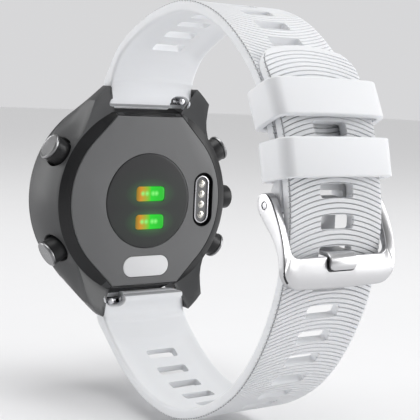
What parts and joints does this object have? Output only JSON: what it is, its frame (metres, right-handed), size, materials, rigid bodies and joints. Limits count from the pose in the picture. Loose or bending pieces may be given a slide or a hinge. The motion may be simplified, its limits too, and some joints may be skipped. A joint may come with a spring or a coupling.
{
  "type": "gps running watch",
  "caption": "Round running watch with side push buttons, a flush heart-rate window and charging socket, on a buckled silicone quick-release strap.",
  "frame": {"origin": "centre of the back's skin-side face, on the sensor window", "axes": "+Y towards the wrist, out of the back; +Z at 12 o'clock; +X at 3 o'clock; the display faces -Y"},
  "size_m": [0.046, 0.0756, 0.0781],
  "materials": {
    "case_polymer": "fine moulded grain, satin",
    "cover_polymer": "smooth satin moulding",
    "bezel_polymer": "semi-gloss moulding",
    "display_glass": "clear, polished",
    "window_black": "flush tinted window, gloss",
    "light_guide": "clear guides lit from below, green to amber",
    "cap_steel": "turned face with a polished edge",
    "buckle_steel": "polished",
    "small_steel": "plain bright steel",
    "silicone_white": "matt moulded silicone",
    "label_white": "printed blank, satin",
    "socket_black": "matt moulding",
    "contact_metal": "plated, bright",
    "seal_rubber": "matt",
    "board_green": "solder resist",
    "battery_foil": "foil pouch",
    "panel_glass": "unlit display",
    "frame_polymer": "moulded inner frame",
    "antenna_copper": "plated strip",
    "rotor_metal": "sintered heavy metal"
  },
  "bodies": {
    "watch": {"case": "case_polymer", "bezel": "bezel_polymer", "display_lens": "display_glass", "display_panel": "panel_glass", "inner_frame": "frame_polymer", "circuit_board": "board_green", "board_screws": "small_steel", "battery": "battery_foil", "antenna_ring": "antenna_copper", "motor_can": "small_steel", "beeper_disc": "antenna_copper", "back_cover": "cover_polymer", "back_seal": "seal_rubber", "sensor_window": "window_black", "light_guides": "light_guide", "sensor_board": "board_green", "charge_socket": "socket_black", "charge_ring": "small_steel", "charge_contacts": "contact_metal", "back_label": "label_white", "button_seals": "seal_rubber", "button_switches": "frame_polymer"},
    "motor_rotor": {"motor_weight": "rotor_metal"},
    "start_button": {"start_button": "case_polymer", "start_cap": "cap_steel", "start_clip": "small_steel"},
    "return_button": {"return_button": "case_polymer", "return_cap": "cap_steel", "return_clip": "small_steel"},
    "light_button": {"light_button": "case_polymer", "light_cap": "cap_steel", "light_clip": "small_steel"},
    "down_button": {"down_button": "case_polymer", "down_cap": "cap_steel", "down_clip": "small_steel"},
    "up_button": {"up_button": "cover_polymer", "up_clip": "small_steel"},
    "buckle_half": {"buckle_strap": "silicone_white", "upper_bar": "small_steel"},
    "upper_release": {"upper_bar_pin": "small_steel"},
    "upper_keeper": {"upper_keeper": "silicone_white"},
    "lower_keeper": {"lower_keeper": "silicone_white"},
    "buckle": {"buckle_frame": "buckle_steel", "buckle_pin": "buckle_steel"},
    "prong": {"buckle_prong": "buckle_steel"},
    "tail_half": {"tail_strap": "silicone_white", "lower_bar": "small_steel"},
    "lower_release": {"lower_bar_pin": "small_steel"}
  },
  "joints": [
    {"name": "motor_spin", "type": "hinge", "parent": "watch", "child": "motor_rotor", "pos_m": [-0.0096, -0.006, -0.003], "axis": [0, 0, 1], "continuous": true},
    {"name": "start_press", "type": "slide", "parent": "watch", "child": "start_button", "axis": [-0.8829, 0, -0.4695], "range_m": [0, 0.0005], "stiffness_N_per_m": 2000, "springref_m": -0.0003},
    {"name": "return_press", "type": "slide", "parent": "watch", "child": "return_button", "axis": [-0.8829, 0, 0.4695], "range_m": [0, 0.0005], "stiffness_N_per_m": 2000, "springref_m": -0.0003},
    {"name": "light_press", "type": "slide", "parent": "watch", "child": "light_button", "axis": [0.8829, 0, -0.4695], "range_m": [0, 0.0005], "stiffness_N_per_m": 2000, "springref_m": -0.0003},
    {"name": "down_press", "type": "slide", "parent": "watch", "child": "down_button", "axis": [0.8829, 0, 0.4695], "range_m": [0, 0.0005], "stiffness_N_per_m": 2000, "springref_m": -0.0003},
    {"name": "up_press", "type": "slide", "parent": "watch", "child": "up_button", "axis": [1, 0, 0], "range_m": [0, 0.0005], "stiffness_N_per_m": 2000, "springref_m": -0.0003},
    {"name": "buckle_half_swing", "type": "hinge", "parent": "watch", "child": "buckle_half", "pos_m": [0, -0.002, 0.0212], "axis": [1, 0, 0], "range_deg": [-0.4, 0]},
    {"name": "tail_half_swing", "type": "hinge", "parent": "watch", "child": "tail_half", "pos_m": [0, -0.002, -0.0212], "axis": [1, 0, 0], "range_deg": [0, 0.28]},
    {"name": "upper_release_slide", "type": "slide", "parent": "buckle_half", "child": "upper_release", "axis": [1, 0, 0], "range_m": [0, 0.0016], "stiffness_N_per_m": 300, "springref_m": -0.0015},
    {"name": "lower_release_slide", "type": "slide", "parent": "tail_half", "child": "lower_release", "axis": [-1, 0, 0], "range_m": [0, 0.0016], "stiffness_N_per_m": 300, "springref_m": -0.0015},
    {"name": "upper_keeper_slide", "type": "slide", "parent": "buckle_half", "child": "upper_keeper", "axis": [0, -0.4355, 0.9002], "range_m": [-0.0006, 0.0006]},
    {"name": "lower_keeper_slide", "type": "slide", "parent": "buckle_half", "child": "lower_keeper", "axis": [0, -0.2309, 0.973], "range_m": [-0.0006, 0.0006]},
    {"name": "buckle_turn", "type": "hinge", "parent": "buckle_half", "child": "buckle", "pos_m": [0, 0.0562, 0.0057], "axis": [1, 0, 0], "range_deg": [0, 3]},
    {"name": "prong_lift", "type": "hinge", "parent": "buckle", "child": "prong", "pos_m": [0, 0.0562, 0.0057], "axis": [1, 0, 0], "range_deg": [0, 4]}
  ],
  "couplings": [
    {"joint": "tail_half_swing", "follows": "buckle_half_swing", "ratio": -0.68}
  ]
}
